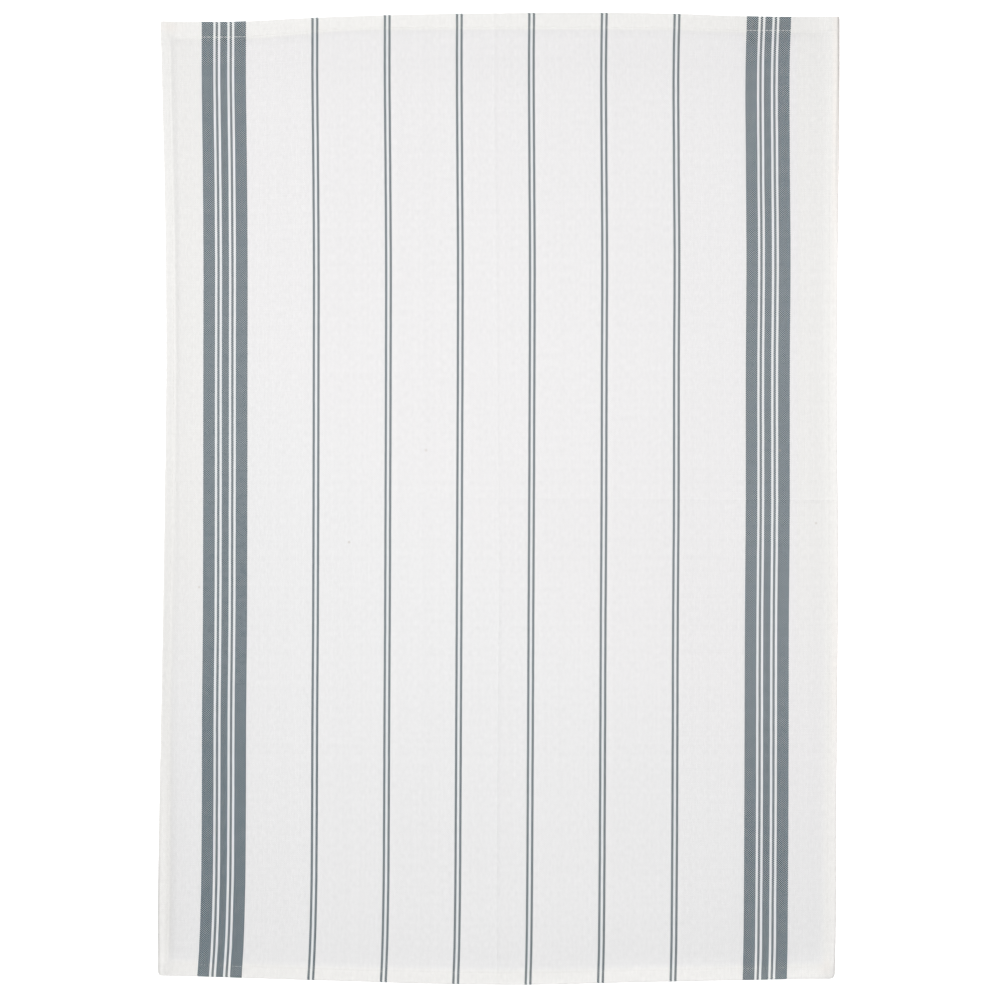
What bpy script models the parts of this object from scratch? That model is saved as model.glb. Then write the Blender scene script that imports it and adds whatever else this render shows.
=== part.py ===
"""A striped tea towel laid flat: one sheet of cotton cloth, hemmed along all four sides.

Metres, with +X across the stripes, +Y along them and +Z up out of the cloth. The origin lies
under the middle of the towel, in the plane that the cloth rests on.
"""

import bmesh
import bpy
import numpy as np

# ---- driving dimensions, in metres ----
WIDTH = 0.490            # plain rectangle across the stripes, hem edge to hem edge
LENGTH = 0.698           # and along them
CLOTH = 0.0011           # one layer lying loose, from the table to the top of its yarns
HEM_RISE = 0.0009        # what a turned hem stands above it, and again where two hems cross
HEM_ACROSS = 0.0085      # width of the two side hems
HEM_ALONG = 0.0105       # width of the top and bottom hems
HEM_STEP = 0.0022        # run of the soft step down from a hem to the single layer
FOLD_RADIUS = 0.0012     # rounding of the hem's folded edge
WALL_SHARE = 0.45        # share of the height that stays upright at that edge
CREASE_RISE = 0.0005     # ridge left by ironing the towel in four
CREASE_REACH = 0.0070    # from the crest of that ridge to where the cloth is flat again
PANEL_STEP = 0.020       # largest distance between grid lines in the open cloth

# How far each side bows out of the plain rectangle, in metres. "at" runs from 0 to 1: left to
# right along the top and bottom sides, and bottom to top along the left and right sides.
SIDES = {
    "left": {
        "at": (0.00, 0.06, 0.15, 0.31, 0.48, 0.64, 0.81, 0.89, 1.00),
        "out": (0.0020, 0.0025, 0.0017, -0.0003, -0.0025, -0.0041, -0.0032, -0.0018, 0.0004),
    },
    "right": {
        "at": (0.00, 0.06, 0.23, 0.44, 0.60, 0.77, 0.89, 0.96, 1.00),
        "out": (-0.0014, -0.0003, 0.0001, 0.0010, 0.0000, 0.0002, 0.0020, 0.0026, 0.0023),
    },
    "top": {
        "at": (0.00, 0.14, 0.18, 0.23, 0.36, 0.50, 0.63, 0.76, 0.85, 1.00),
        "out": (-0.0032, -0.0026, -0.0014, 0.0002, 0.0019, 0.0030, 0.0035, 0.0028, 0.0012, 0.0003),
    },
    "bottom": {
        "at": (0.00, 0.10, 0.27, 0.41, 0.54, 0.72, 0.85, 1.00),
        "out": (-0.0037, -0.0019, 0.0008, 0.0028, 0.0035, 0.0014, 0.0004, -0.0014),
    },
}

# Slow waves that keep the open cloth from lying dead flat: each row is one wave.
WAVES = {
    "rise": (0.00016, 0.00012, 0.00010),      # half its height, in metres
    "across": (1.3, -0.7, 2.6),               # cycles over the width
    "along": (0.8, 2.3, 1.7),                 # cycles over the length
    "start": (0.10, 0.45, 0.70),              # where in its cycle it starts
}

COTTON_COLOUR = (0.80, 0.79, 0.78, 1.0)
COTTON_ROUGHNESS = 0.92


def smooth_curve(at, out, where):
    """Read a short table as a smooth curve: cubic pieces with the table's own slopes."""
    at, out = np.array(at), np.array(out)
    slope = np.gradient(out, at)
    left = np.clip(np.searchsorted(at, where) - 1, 0, len(at) - 2)
    run = at[left + 1] - at[left]
    t = (where - at[left]) / run
    ends = (1 + 2 * t) * (1 - t) ** 2 * out[left] + t ** 2 * (3 - 2 * t) * out[left + 1]
    pulls = t * (1 - t) ** 2 * slope[left] - t ** 2 * (1 - t) * slope[left + 1]
    return ends + run * pulls


def soft_step(value):
    """0 below 0, 1 above 1, and an even S between."""
    value = np.clip(value, 0.0, 1.0)
    return value * value * (3 - 2 * value)


def grid_lines(size, hem):
    """Grid lines from one edge to the other: close together over the fold, the hem's step and
    the ironed crease, wide apart in between."""
    half = size / 2
    fold = FOLD_RADIUS * np.array([0.0, 0.15, 0.5, 1.0])
    step = hem + HEM_STEP * np.array([-0.5, -0.2, 0.2, 0.5])
    panel_start, panel_end = hem + 4 * HEM_STEP, half - CREASE_REACH
    panels = int(np.ceil((panel_end - panel_start) / PANEL_STEP))
    open_cloth = np.linspace(panel_start, panel_end, panels + 1)
    crease = half - CREASE_REACH * np.array([0.65, 0.3])
    to_middle = np.concatenate([fold, step, open_cloth, crease])
    return np.concatenate([to_middle - half, [0.0], (half - to_middle)[::-1]])


def hem_height(inset, hem):
    """Height that one pair of hems adds, from the distance to its own edge."""
    return HEM_RISE * (1 - soft_step((inset - hem + HEM_STEP / 2) / HEM_STEP))


def crease_height(distance):
    """A ridge with a soft crest, from the distance to the ironed line."""
    return CREASE_RISE * (1 - soft_step(np.abs(distance) / CREASE_REACH)) ** 2


def wave_height(across, along):
    """The slow waves, all above the plain thickness."""
    height = np.zeros_like(across)
    for rise, cycles_x, cycles_y, start in zip(*WAVES.values()):
        turn = cycles_x * across / WIDTH + cycles_y * along / LENGTH + start
        height += rise * (1 + np.sin(2 * np.pi * turn))
    return height


def top_height(across, along):
    """Height of the towel's upper side over the point (across, along) of the plain rectangle."""
    inset_x = WIDTH / 2 - np.abs(across)
    inset_y = LENGTH / 2 - np.abs(along)
    height = CLOTH + wave_height(across, along)
    height += hem_height(inset_x, HEM_ACROSS) + hem_height(inset_y, HEM_ALONG)
    height += np.maximum(crease_height(across), crease_height(along))
    fold = np.clip(np.minimum(inset_x, inset_y) / FOLD_RADIUS, 0.0, 1.0)
    return height * (WALL_SHARE + (1 - WALL_SHARE) * np.sqrt(1 - (1 - fold) ** 2))


def lay_out(across, along):
    """Move points of the plain rectangle so that its sides take the towel's bowed outline."""
    s, t = across / WIDTH + 0.5, along / LENGTH + 0.5
    bow = {name: smooth_curve(side["at"], side["out"], t if name in ("left", "right") else s)
           for name, side in SIDES.items()}
    x = across - (1 - s) * bow["left"] + s * bow["right"]
    y = along - (1 - t) * bow["bottom"] + t * bow["top"]
    return x - (x.min() + x.max()) / 2, y - (y.min() + y.max()) / 2


def cotton():
    """The towel's cloth: white cotton, matt."""
    material = bpy.data.materials.new("cotton")
    material.use_nodes = True
    shader = material.node_tree.nodes["Principled BSDF"]
    shader.inputs["Base Color"].default_value = COTTON_COLOUR
    shader.inputs["Roughness"].default_value = COTTON_ROUGHNESS
    shader.inputs["Metallic"].default_value = 0.0
    return material


def tea_towel():
    """One closed solid: a grid extruded once, its lower copy on the table, its upper one raised."""
    columns = grid_lines(WIDTH, HEM_ACROSS)
    rows = grid_lines(LENGTH, HEM_ALONG)
    sheet = bmesh.new()
    bmesh.ops.create_grid(sheet, x_segments=len(columns) - 1, y_segments=len(rows) - 1, size=1.0)
    raised = set(bmesh.ops.extrude_face_region(sheet, geom=sheet.faces[:])["geom"])
    on_top = np.array([vertex in raised for vertex in sheet.verts])

    places = np.array([vertex.co for vertex in sheet.verts])
    across = np.interp(places[:, 0], np.linspace(-1, 1, len(columns)), columns)
    along = np.interp(places[:, 1], np.linspace(-1, 1, len(rows)), rows)
    x, y = lay_out(across, along)
    z = np.where(on_top, top_height(across, along), 0.0)
    for vertex, place in zip(sheet.verts, np.column_stack([x, y, z])):
        vertex.co = place
    bmesh.ops.recalc_face_normals(sheet, faces=sheet.faces[:])

    mesh = bpy.data.meshes.new("tea_towel")
    sheet.to_mesh(mesh)
    sheet.free()
    mesh.shade_smooth()
    mesh.materials.append(cotton())
    return bpy.data.objects.new("tea_towel", mesh)


def main():
    for old in list(bpy.data.objects):
        bpy.data.objects.remove(old, do_unlink=True)
    collection = bpy.data.collections.new("tea_towel")
    bpy.context.scene.collection.children.link(collection)
    towel = tea_towel()
    collection.objects.link(towel)
    print(towel.name, "measures", [round(size, 4) for size in towel.dimensions], "m")


main()
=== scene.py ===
# %% [markdown]
# # A striped tea towel, laid flat
# The object is one rectangle of white cotton, woven with slate-blue stripes and hemmed on all
# four sides. Nothing is rigid here, so the whole likeness lies in three things: the uneven
# outline of cloth that has been washed and smoothed by hand, the low relief of its hems and of
# the cross that ironing has left, and a weave coarse enough to show single yarns. We start from
# the frame, which holds the plain solid that this cloth has to fit.

import bpy
import numpy as np
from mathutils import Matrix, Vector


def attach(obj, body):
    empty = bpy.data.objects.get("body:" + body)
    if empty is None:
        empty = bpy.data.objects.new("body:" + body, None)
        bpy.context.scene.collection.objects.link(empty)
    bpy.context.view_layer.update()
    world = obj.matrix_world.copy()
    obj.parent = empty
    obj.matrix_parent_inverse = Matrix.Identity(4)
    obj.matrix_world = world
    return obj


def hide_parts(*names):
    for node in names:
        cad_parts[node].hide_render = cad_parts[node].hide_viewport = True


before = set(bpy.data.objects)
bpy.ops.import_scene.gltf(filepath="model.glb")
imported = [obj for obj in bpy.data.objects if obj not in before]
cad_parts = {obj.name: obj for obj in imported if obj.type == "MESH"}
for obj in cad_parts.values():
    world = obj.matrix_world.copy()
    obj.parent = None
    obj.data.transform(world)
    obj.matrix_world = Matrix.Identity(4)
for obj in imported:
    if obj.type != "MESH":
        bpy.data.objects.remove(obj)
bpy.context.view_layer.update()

# %% [markdown]
# ## Sizes
# Real sizes come first, so that every later shape can be worked out from them. The finished
# towel is a plain rectangle before we bend its sides. A single layer of this cloth is about a
# third of a millimetre thick, and the layers of a hem lie a little apart because cotton is
# springy. Only in the corners, where hem crosses hem, are they squeezed together.

# %% Sizes in metres
WIDTH, LENGTH = 0.490, 0.698      # hem edge to hem edge, across the stripes and along them
SHEET = 0.00036                   # one layer of cloth
SQUEEZED = 0.00038                # from layer to layer in a corner
REST = 0.00042                    # middle of the lowest layer, over the table
WARP = 0.000843                   # from one lengthwise yarn to the next
WEFT = 0.000763                   # from one crosswise yarn to the next
CUT = (0.530, 0.750)              # cloth that the UV map spans, a little more than was cut
print("yarns to the centimetre:", round(0.01 / WARP, 1), "by", round(0.01 / WEFT, 1))

# %% [markdown]
# ## The outline
# A smoothed-out towel is never a true rectangle. Each side bows out or in by a few
# millimetres. We could draw the outline as a curve, but then the weave inside would not know
# about it. So each side keeps a short table of how far it bows, and every point of the cloth
# moves by a mixture of the two sides that it lies between.

# %% Bowed sides
# "at" runs from 0 to 1, left to right or bottom to top; "out" is in metres
SIDES = {
    "left": {
        "at": (0.00, 0.06, 0.15, 0.31, 0.48, 0.64, 0.81, 0.89, 1.00),
        "out": (0.0022, 0.0026, 0.0017, -0.0004, -0.0023, -0.0036, -0.0026, -0.0013, 0.0006),
    },
    "right": {
        "at": (0.00, 0.06, 0.15, 0.25, 0.44, 0.60, 0.77, 0.89, 0.96, 1.00),
        "out": (-0.0020, -0.0010, -0.0009, -0.0003, 0.0007, -0.0003, 0.0004, 0.0014, 0.0016, 0.0014),
    },
    "top": {
        "at": (0.00, 0.14, 0.18, 0.23, 0.36, 0.50, 0.63, 0.76, 0.85, 1.00),
        "out": (-0.0032, -0.0025, -0.0013, -0.0001, 0.0020, 0.0031, 0.0035, 0.0027, 0.0010, 0.0002),
    },
    "bottom": {
        "at": (0.00, 0.10, 0.27, 0.41, 0.54, 0.72, 0.85, 1.00),
        "out": (-0.0040, -0.0023, 0.0003, 0.0024, 0.0031, 0.0011, -0.0001, -0.0018),
    },
}


def smooth_curve(at, values, where):
    """A short table read as a smooth curve: between two rows a cubic that takes both values
    and, at each row, the slope between its neighbours."""
    at, values = np.array(at), np.array(values)
    slope = np.gradient(values, at)
    row = np.clip(np.searchsorted(at, where) - 1, 0, len(at) - 2)
    run = at[row + 1] - at[row]
    t = np.clip((where - at[row]) / run, 0, 1)
    ends = (1 + 2 * t) * (1 - t) ** 2 * values[row] + t ** 2 * (3 - 2 * t) * values[row + 1]
    return ends + run * (t * (1 - t) ** 2 * slope[row] - t ** 2 * (1 - t) * slope[row + 1])


def bow(name, where):
    """How far a side bows out, at a place along it."""
    return smooth_curve(SIDES[name]["at"], SIDES[name]["out"], where)


def bend(across, along):
    """Plain rectangle to laid cloth: x gains the right side's bow and loses the left one's, each
    in proportion to how near that side is, and y does the same with top and bottom."""
    s, t = across / WIDTH + 0.5, along / LENGTH + 0.5
    x = across - (1 - s) * bow("left", t) + s * bow("right", t)
    y = along - (1 - t) * bow("bottom", s) + t * bow("top", s)
    return x, y


edge = np.linspace(-0.5, 0.5, 401)
reach_x = [bend(side * WIDTH / 2, edge * LENGTH)[0] for side in (-1, 1)]
reach_y = [bend(edge * WIDTH, side * LENGTH / 2)[1] for side in (-1, 1)]
MIDDLE_X, MIDDLE_Y = ((np.min(reach) + np.max(reach)) / 2 for reach in (reach_x, reach_y))
print("outline:", round(np.ptp(reach_x), 4), "by", round(np.ptp(reach_y), 4), "m")

# %% [markdown]
# ## Low relief
# Two things keep the open cloth from being a plane. Slow waves, under a millimetre high, are
# left over from the way cotton dries. The cross in the middle is where the towel was ironed in
# four, and it is sharper: a crest that falls off like a tent, so we write it as an exponential
# of the distance to a line. The line itself wanders by a millimetre or two, because the fold
# followed the yarns and the yarns lie slightly askew.

# %% Waves and ironed creases
WAVES = {
    "rise": (0.00016, 0.00012, 0.00010),      # half its height, in metres
    "across": (1.3, -0.7, 2.6),               # cycles over the width
    "along": (0.8, 2.3, 1.7),                 # cycles over the length
    "start": (0.10, 0.45, 0.70),              # where in its cycle it starts
}
UPRIGHT = {              # the crease along the towel: its x, from the bottom up
    "at": (0.0, 0.11, 0.32, 0.43, 0.59, 0.70, 0.90, 1.0),
    "place": (-0.0013, -0.0012, -0.0003, 0.0003, -0.0006, -0.0012, -0.0029, -0.0031),
    "rise": (0.00055, 0.00068, 0.00072, 0.00060, 0.00030, 0.00032, 0.00036, 0.00030),
}
LEVEL = {                # the crease across the towel: its y, from the left
    "at": (0.0, 0.2, 0.4, 0.5, 0.7, 0.9, 1.0),
    "place": (0.0000, 0.0000, 0.0004, 0.0003, -0.0003, -0.0009, -0.0010),
    "rise": (0.00004, 0.00006, 0.00012, 0.00036, 0.00032, 0.00056, 0.00080),
}
CREST = 0.0003           # roundness of a crease's crest
NEAR_FALL = 0.0017       # how fast it falls off to the left, or upwards
FAR_FALL = 0.0018        # and to the right, or downwards


def waves(across, along):
    """The sum of a few slow sine waves, each lifted so that it never goes below zero."""
    height = 0.0
    for rise, cycles_x, cycles_y, start in zip(*WAVES.values()):
        turn = cycles_x * across / WIDTH + cycles_y * along / LENGTH + start
        height = height + rise * (1 + np.sin(2 * np.pi * turn))
    return height


def upright_line(along):
    """Where the upright crease crosses, as a place in the plain rectangle before bending."""
    place = smooth_curve(UPRIGHT["at"], UPRIGHT["place"], along / LENGTH + 0.5)
    return place - bend(0.0, along)[0] + MIDDLE_X


def level_line(across):
    """The same for the crease that runs across."""
    place = smooth_curve(LEVEL["at"], LEVEL["place"], across / WIDTH + 0.5)
    return place - bend(across, 0.0)[1] + MIDDLE_Y


def ridge(crease, past, where):
    """Crest height times exp(-distance / fall), with the tip of the tent rounded off. "past" is
    the distance beyond the line on the side away from the light."""
    fall = np.where(past < 0, NEAR_FALL, FAR_FALL)
    blunt = np.sqrt(past ** 2 + CREST ** 2) - CREST
    return smooth_curve(crease["at"], crease["rise"], where) * np.exp(-blunt / fall)


def relief(across, along):
    """Waves, plus the higher of the two ironed ridges."""
    upright = ridge(UPRIGHT, across - upright_line(along), along / LENGTH + 0.5)
    level = ridge(LEVEL, level_line(across) - along, across / WIDTH + 0.5)
    return waves(across, along) + np.maximum(upright, level)


print("relief in the middle:", round(float(relief(0.0, 0.0)) * 1000, 2), "mm")

# %% [markdown]
# ## The hems
# A hem here is the edge turned under twice and stitched down, so a cut through it shows three
# layers and two round folds. It could be faked with a raised band, but then the underside and
# the edge would look wrong. Instead the sheet really runs round: over the top, round the edge,
# back underneath, up, and out again between the layers. That path is a profile of runs and
# half circles, and we carry it along each side while its width and springiness change.

# %% The shape of each hem
# Rows are read along the side, from the bottom up or from the left. "puff" is the spacing of the
# layers at the folded edge, "flat" their spacing further in, and "away" how far the open cloth
# takes to come down to the table. The single numbers are "fall", how soon the spacing at the edge
# becomes the one further in, "seam", from the inner fold to the row of stitches, and "groove", how
# deep those stitches pull
HEMS = {
    "left": {
        "at": (0.00, 0.05, 0.18, 0.30, 0.42, 0.60, 0.84, 1.00),
        "width": (0.0076, 0.0084, 0.0078, 0.0065, 0.0070, 0.0072, 0.0069, 0.0069),
        "puff": (0.00074, 0.00074, 0.00066, 0.00056, 0.00052, 0.00056, 0.00056, 0.00056),
        "flat": (0.00040, 0.00040, 0.00044, 0.00050, 0.00050, 0.00050, 0.00050, 0.00048),
        "away": (0.0055, 0.0055, 0.0055, 0.0050, 0.0052, 0.0030, 0.0026, 0.0028),
        "fall": 0.0030, "seam": 0.0018, "groove": 0.3,
    },
    "right": {
        "at": (0.0, 0.5, 1.0),
        "width": (0.0078, 0.0079, 0.0078),
        "puff": (0.00072, 0.00076, 0.00078),
        "flat": (0.00036, 0.00036, 0.00036),
        "away": (0.0075, 0.0075, 0.0075),
        "fall": 0.0030, "seam": 0.0018, "groove": 0.0,
    },
    "bottom": {
        "at": (0.0, 0.15, 0.5, 0.62, 1.0),
        "width": (0.0102, 0.0092, 0.0096, 0.0094, 0.0097),
        "puff": (0.00062, 0.00062, 0.00062, 0.00062, 0.00060),
        "flat": (0.00040, 0.00040, 0.00042, 0.00042, 0.00038),
        "away": (0.0055, 0.0055, 0.0050, 0.0050, 0.0065),
        "fall": 0.0050, "seam": 0.0013, "groove": 0.4,
    },
    "top": {
        "at": (0.0, 0.16, 0.28, 0.38, 0.50, 0.60, 0.82, 1.0),
        "width": (0.0124, 0.0122, 0.0102, 0.0108, 0.0114, 0.0117, 0.0115, 0.0112),
        "puff": (0.00054, 0.00056, 0.00056, 0.00056, 0.00056, 0.00056, 0.00052, 0.00048),
        "flat": (0.00046, 0.00048, 0.00050, 0.00050, 0.00050, 0.00050, 0.00046, 0.00042),
        "away": (0.0034, 0.0034, 0.0030, 0.0030, 0.0030, 0.0030, 0.0034, 0.0045),
        "fall": 0.0040, "seam": 0.0013, "groove": 0.7,
    },
}
GROOVE_REACH = 0.0007    # half the width of the groove that the stitches pull
PINCHED = 0.00031        # from layer to layer under a tight stitch
BEND = 0.00028           # how softly the top layer bends over the inner fold
CORNER_BEND = 0.0007     # and how much more softly where another hem lies under it
RAW_END = 0.0010         # how far short of the outer fold the cut end stops inside the hem


def hem_row(name, row, where):
    """One row of a hem's table, at a place along its side."""
    return smooth_curve(HEMS[name]["at"], HEMS[name][row], where)


def hem_measures(name, where, crossed):
    """Width, spacing at the edge and spacing at the stitches, at a place along the side. Where
    another hem crosses this one, the layers are squeezed."""
    spacings = [hem_row(name, row, where) for row in ("puff", "flat")]
    squeezed = [spacing + (SQUEEZED - spacing) * crossed for spacing in spacings]
    return hem_row(name, "width", where), *squeezed


def layer_gap(name, inset, where, crossed, stack=0.0):
    """Distance between layers: flat + (puff - flat) * exp(-way in from the crest / fall), less
    what the row of stitches pulls out, which fades as a bell curve to both sides."""
    width, puff, flat = hem_measures(name, where, crossed)
    way_in = np.maximum(inset - 1.5 * stack - puff, 0)
    gap = flat + (puff - flat) * np.exp(-way_in / HEMS[name]["fall"])
    bell = np.exp(-((inset - width + HEMS[name]["seam"]) / GROOVE_REACH) ** 2)
    return gap - HEMS[name]["groove"] * (gap - PINCHED) * (1 - crossed) * bell


def on_hem(name, inset, where, crossed=0.0):
    """1 on the hem, and past its inner fold exp(-distance / away). The distance starts softly:
    it is bend * ln(1 + exp(d / bend)), which is 0 well before the fold and d well past it."""
    past = inset - hem_row(name, "width", where)
    bend = BEND + CORNER_BEND * crossed
    return np.exp(-bend * np.logaddexp(0, past / bend) / hem_row(name, "away", where))


def turn_under(name, stage, where, crossed, stack, lift):
    """Walk round a double hem. Stage 0 to 1 is the half circle round the edge, 1 to 2 the run
    back underneath, 2 to 3 the half circle up, 3 to 4 the run out between the layers. A half
    circle's radius is half of what it has to climb, plus lift: this layer's height over the
    middle of the stack that is turned with it. Gives the distance in from the outer edge, the
    height over the lowest run, and the length of cloth used since stage 0."""
    width, puff, flat = hem_measures(name, where, crossed)
    outer, inner = stack + puff, (stack + flat) / 2
    crest = outer + stack / 2
    run = width - crest - inner
    round_edge, under, up, back = (np.clip(stage - k, 0, 1) for k in range(4))
    inset = crest - (outer + lift) * np.sin(np.pi * round_edge) + run * under
    inset = inset + (inner + lift) * np.sin(np.pi * up) - (run - RAW_END) * back
    lowering = outer + (outer + lift) * np.cos(np.pi * round_edge)
    climbing = inner - (inner + lift) * np.cos(np.pi * up)
    between = stack + layer_gap(name, inset, where, crossed, stack) + lift
    height = np.where(stage <= 1, lowering, np.where(stage <= 3, climbing, between))
    used = np.pi * outer * round_edge + run * under + np.pi * inner * up + (run - RAW_END) * back
    return inset, height, used


profile = turn_under("left", np.linspace(0, 4, 9), 0.5, 0.0, 0.0, 0.0)
print("left hem, inset and height in mm:", np.round(1000 * np.column_stack(profile[:2]), 2).tolist())

# %% [markdown]
# ## The lines of the grid
# One grid carries the whole cloth. Its lines crowd together where the cloth turns sharply and
# spread out where it lies flat. Lines on a hem move with the hem's own width, so each line is
# either a stage of the fold, or a sum: a fixed distance, plus a share of the hem's width, plus
# a share of the distance to the crest of its outer fold.

# %% Grid lines
MM = 0.001
PANEL = 5 * MM           # distance between lines in the open cloth
OPEN_START = 20 * MM     # distance from the edge to the first of them, clear of every hem
BY_FOLD = MM * np.array([-2.4, -2.05, -1.7, -1.4, -1.1, -0.8, -0.5, -0.2, 0.1, 0.4, 0.7, 1.1,
                         1.6, 2.2, 3.0, 4.2, 5.8])
BY_CREASE = MM * np.array([8, 6.5, 5, 4, 3, 2.2, 1.5, 1, 0.6, 0.3])
STAGE_CELLS = (8, 3, 5, 3)      # cells round the edge, back underneath, up, and out again
HEM_CELLS = 4            # cells on top of the hem, before the lines by its inner fold
LAST_STEP = 0.7 * MM     # from the last of those cells to the first line by the fold


def half_lines(size):
    """The lines of one half, from the cut end inside the hem to just before the middle, as
    columns: stage, fixed distance, share of the width, share of the crest."""
    folded = np.concatenate([np.linspace(k + 1, k, STAGE_CELLS[k] + 1)[:-1] for k in (3, 2, 1, 0)])
    share = np.linspace(0, 1, HEM_CELLS + 1)
    count = int((size / 2 - OPEN_START - BY_CREASE[0]) / PANEL) + 1
    open_cloth = np.linspace(OPEN_START, size / 2 - BY_CREASE[0], count + 1)[:-1]
    by_size = np.concatenate([open_cloth, size / 2 - BY_CREASE])
    fixed = np.concatenate([share * (BY_FOLD[0] - LAST_STEP), BY_FOLD, by_size])
    of_width = np.concatenate([share, np.ones(len(BY_FOLD)), np.zeros(len(by_size))])
    of_crest = np.concatenate([1 - share, np.zeros(len(BY_FOLD) + len(by_size))])
    flat = np.column_stack([np.zeros(len(fixed)), fixed, of_width, of_crest])
    under = np.column_stack([folded, np.zeros((len(folded), 3))])
    return np.concatenate([under, flat])


def all_lines(size):
    """Both halves and the middle line, and -1 or +1 for the half that each line belongs to."""
    half = half_lines(size)
    middle = np.array([[0, size / 2, 0, 0]])
    return np.concatenate([half, middle, half[::-1]]), np.repeat([-1, 1], [len(half), len(half) + 1])


columns, column_half = all_lines(WIDTH)
rows, row_half = all_lines(LENGTH)
print("grid:", len(columns), "lines by", len(rows))

# %% [markdown]
# ## Folding the cloth
# The maker hemmed the top and bottom first, and then turned the two sides over those hems. We
# do it in the same order. The first fold gives each point a height in the stack of the top or
# bottom hem. The second fold turns that whole stack, so its half circles are wider there. Last
# come the bows of the outline and the low relief.
#
# Each point also remembers where it lies on the unfolded cloth, and that becomes its UV. The
# yarns then run on round the folds, as they do in the real hem.

# %% Fold once, then again
def fold(names, lines, half, where, crossed, stack, lift):
    """Inset, height over the table side of the stack, and unfolded inset of every grid point.
    Flat lines take their inset from their sum, and folded ones walk round the hem."""
    stage, fixed, of_width, of_crest = lines
    results = []
    for name in names:
        width, puff, _ = hem_measures(name, where, crossed)
        crest = 1.5 * stack + puff
        inset = fixed + of_width * width + of_crest * crest
        rise = 2 * (stack + layer_gap(name, inset, where, crossed, stack))
        height = lift + on_hem(name, inset, where, crossed) * rise
        turned, climbed, used = turn_under(name, stage, where, crossed, stack, lift)
        laid = [(turned, inset), (climbed, height), (crest - used, inset)]
        results.append([np.where(stage > 0, under, above) for under, above in laid])
    inset, height, unfolded = (np.where(half < 0, start, end) for start, end in zip(*results))
    return inset, height + stack / 2, unfolded


def by_half(half, names, rule):
    """One rule read for the two hems that face each other, each in its own half."""
    return np.where(half < 0, rule(names[0]), rule(names[1]))


across_lines, across_half = columns.T[:, None, :], column_half[None, :]
along_lines, along_half = rows.T[:, :, None], row_half[:, None]
ENDS, FLANKS = ("bottom", "top"), ("left", "right")

inset, _, _ = fold(FLANKS, across_lines, across_half, 0.5, 0.0, 0.0, 0.0)
s = across_half * (WIDTH / 2 - inset) / WIDTH + 0.5
beside = by_half(across_half, FLANKS, lambda name: on_hem(name, inset, 0.5))

inset_y, height_y, flat_y = fold(ENDS, along_lines, along_half, s, beside, 0.0, 0.0)
at_end = by_half(along_half, ENDS, lambda name: on_hem(name, inset_y, s, beside))
gap = by_half(along_half, ENDS, lambda name: layer_gap(name, inset_y, s, beside))
stack = 2 * at_end * gap
along = along_half * (LENGTH / 2 - inset_y)
unfolded_y = along_half * (LENGTH / 2 - flat_y)
t = along / LENGTH + 0.5

inset_x, height, flat_x = fold(FLANKS, across_lines, across_half, t, at_end, stack, height_y - stack / 2)
across = across_half * (WIDTH / 2 - inset_x)
unfolded_x = across_half * (WIDTH / 2 - flat_x)
on_side = by_half(across_half, FLANKS, lambda name: on_hem(name, inset_x, t, at_end))
hem_layers = np.maximum(on_side, at_end) ** 4         # 1 on the hems, and soon 0 beside them
print("cloth before hemming:", np.round([np.ptp(unfolded_x), np.ptp(unfolded_y)], 4), "m")
print("thickest place:", round(height.max() * 1000, 2), "mm above the lowest layer")

# %% [markdown]
# Nine layers of cotton cannot make a sharp corner, so each corner gets a small round, a
# different one each time. The middle lines of the grid follow the two creases, so that each crest
# stays sharp, and that shift fades out over ten centimetres.
#
# The stripes wander too. Cloth on the loom is never pulled quite evenly, and the photographed
# stripes lean by up to four millimetres. A table of three lengthwise lines says how far the
# yarns have drifted, and the UV takes that drift out again.

# %% Follow the creases, let the yarns drift
FOLLOW = 0.10            # how far from a crease its shift fades out
# the radius of each corner's round
CORNER = {"bottom left": 0.0026, "bottom right": 0.0036, "top left": 0.0012, "top right": 0.0008}
DRIFT = {                # sideways, in metres, read along three lines from the bottom up
    "at": (0.0, 0.03, 0.08, 0.17, 0.27, 0.37, 0.48, 0.64, 0.75, 0.85, 0.955, 1.0),
    "left": (-0.0036, -0.0024, -0.0012, -0.0005, -0.0003, 0.0003, 0.0005, 0.0006, 0.0007, 0.0002,
             -0.0006, -0.0004),
    "middle": (-0.0026, -0.0020, -0.0015, -0.0011, -0.0007, -0.0004, 0.0000, 0.0005, 0.0006, 0.0002,
               -0.0001, 0.0000),
    "right": (-0.0021, -0.0015, -0.0012, -0.0008, -0.0006, -0.0004, 0.0002, 0.0003, 0.0008, 0.0003,
              0.0002, 0.0011),
}
DRIFT_LINES = (-0.1990, -0.0025, 0.1946)       # the x of those three lines
CROWDING = {             # and the same everywhere along: where the reed held them unevenly
    "at": (-0.199, -0.132, -0.080, -0.028, 0.024, 0.076, 0.1285, 0.1946),
    "off": (0.00028, 0.00039, 0.00048, 0.00035, 0.00029, 0.00041, 0.00056, 0.00025),
}


def round_corners(across, along):
    """Move the points next to a corner onto a round one. With A and B the distances that a point
    lies outside the centre of the round, both shrink by max(A, B) / sqrt(A squared + B squared)."""
    radius = np.where(along < 0, np.where(across < 0, CORNER["bottom left"], CORNER["bottom right"]),
                      np.where(across < 0, CORNER["top left"], CORNER["top right"]))
    out_x = np.maximum(np.abs(across) - WIDTH / 2 + radius, 0)
    out_y = np.maximum(np.abs(along) - LENGTH / 2 + radius, 0)
    shrink = 1 - np.maximum(out_x, out_y) / np.maximum(np.hypot(out_x, out_y), 1e-9)
    return across - np.sign(across) * out_x * shrink, along - np.sign(along) * out_y * shrink


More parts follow.
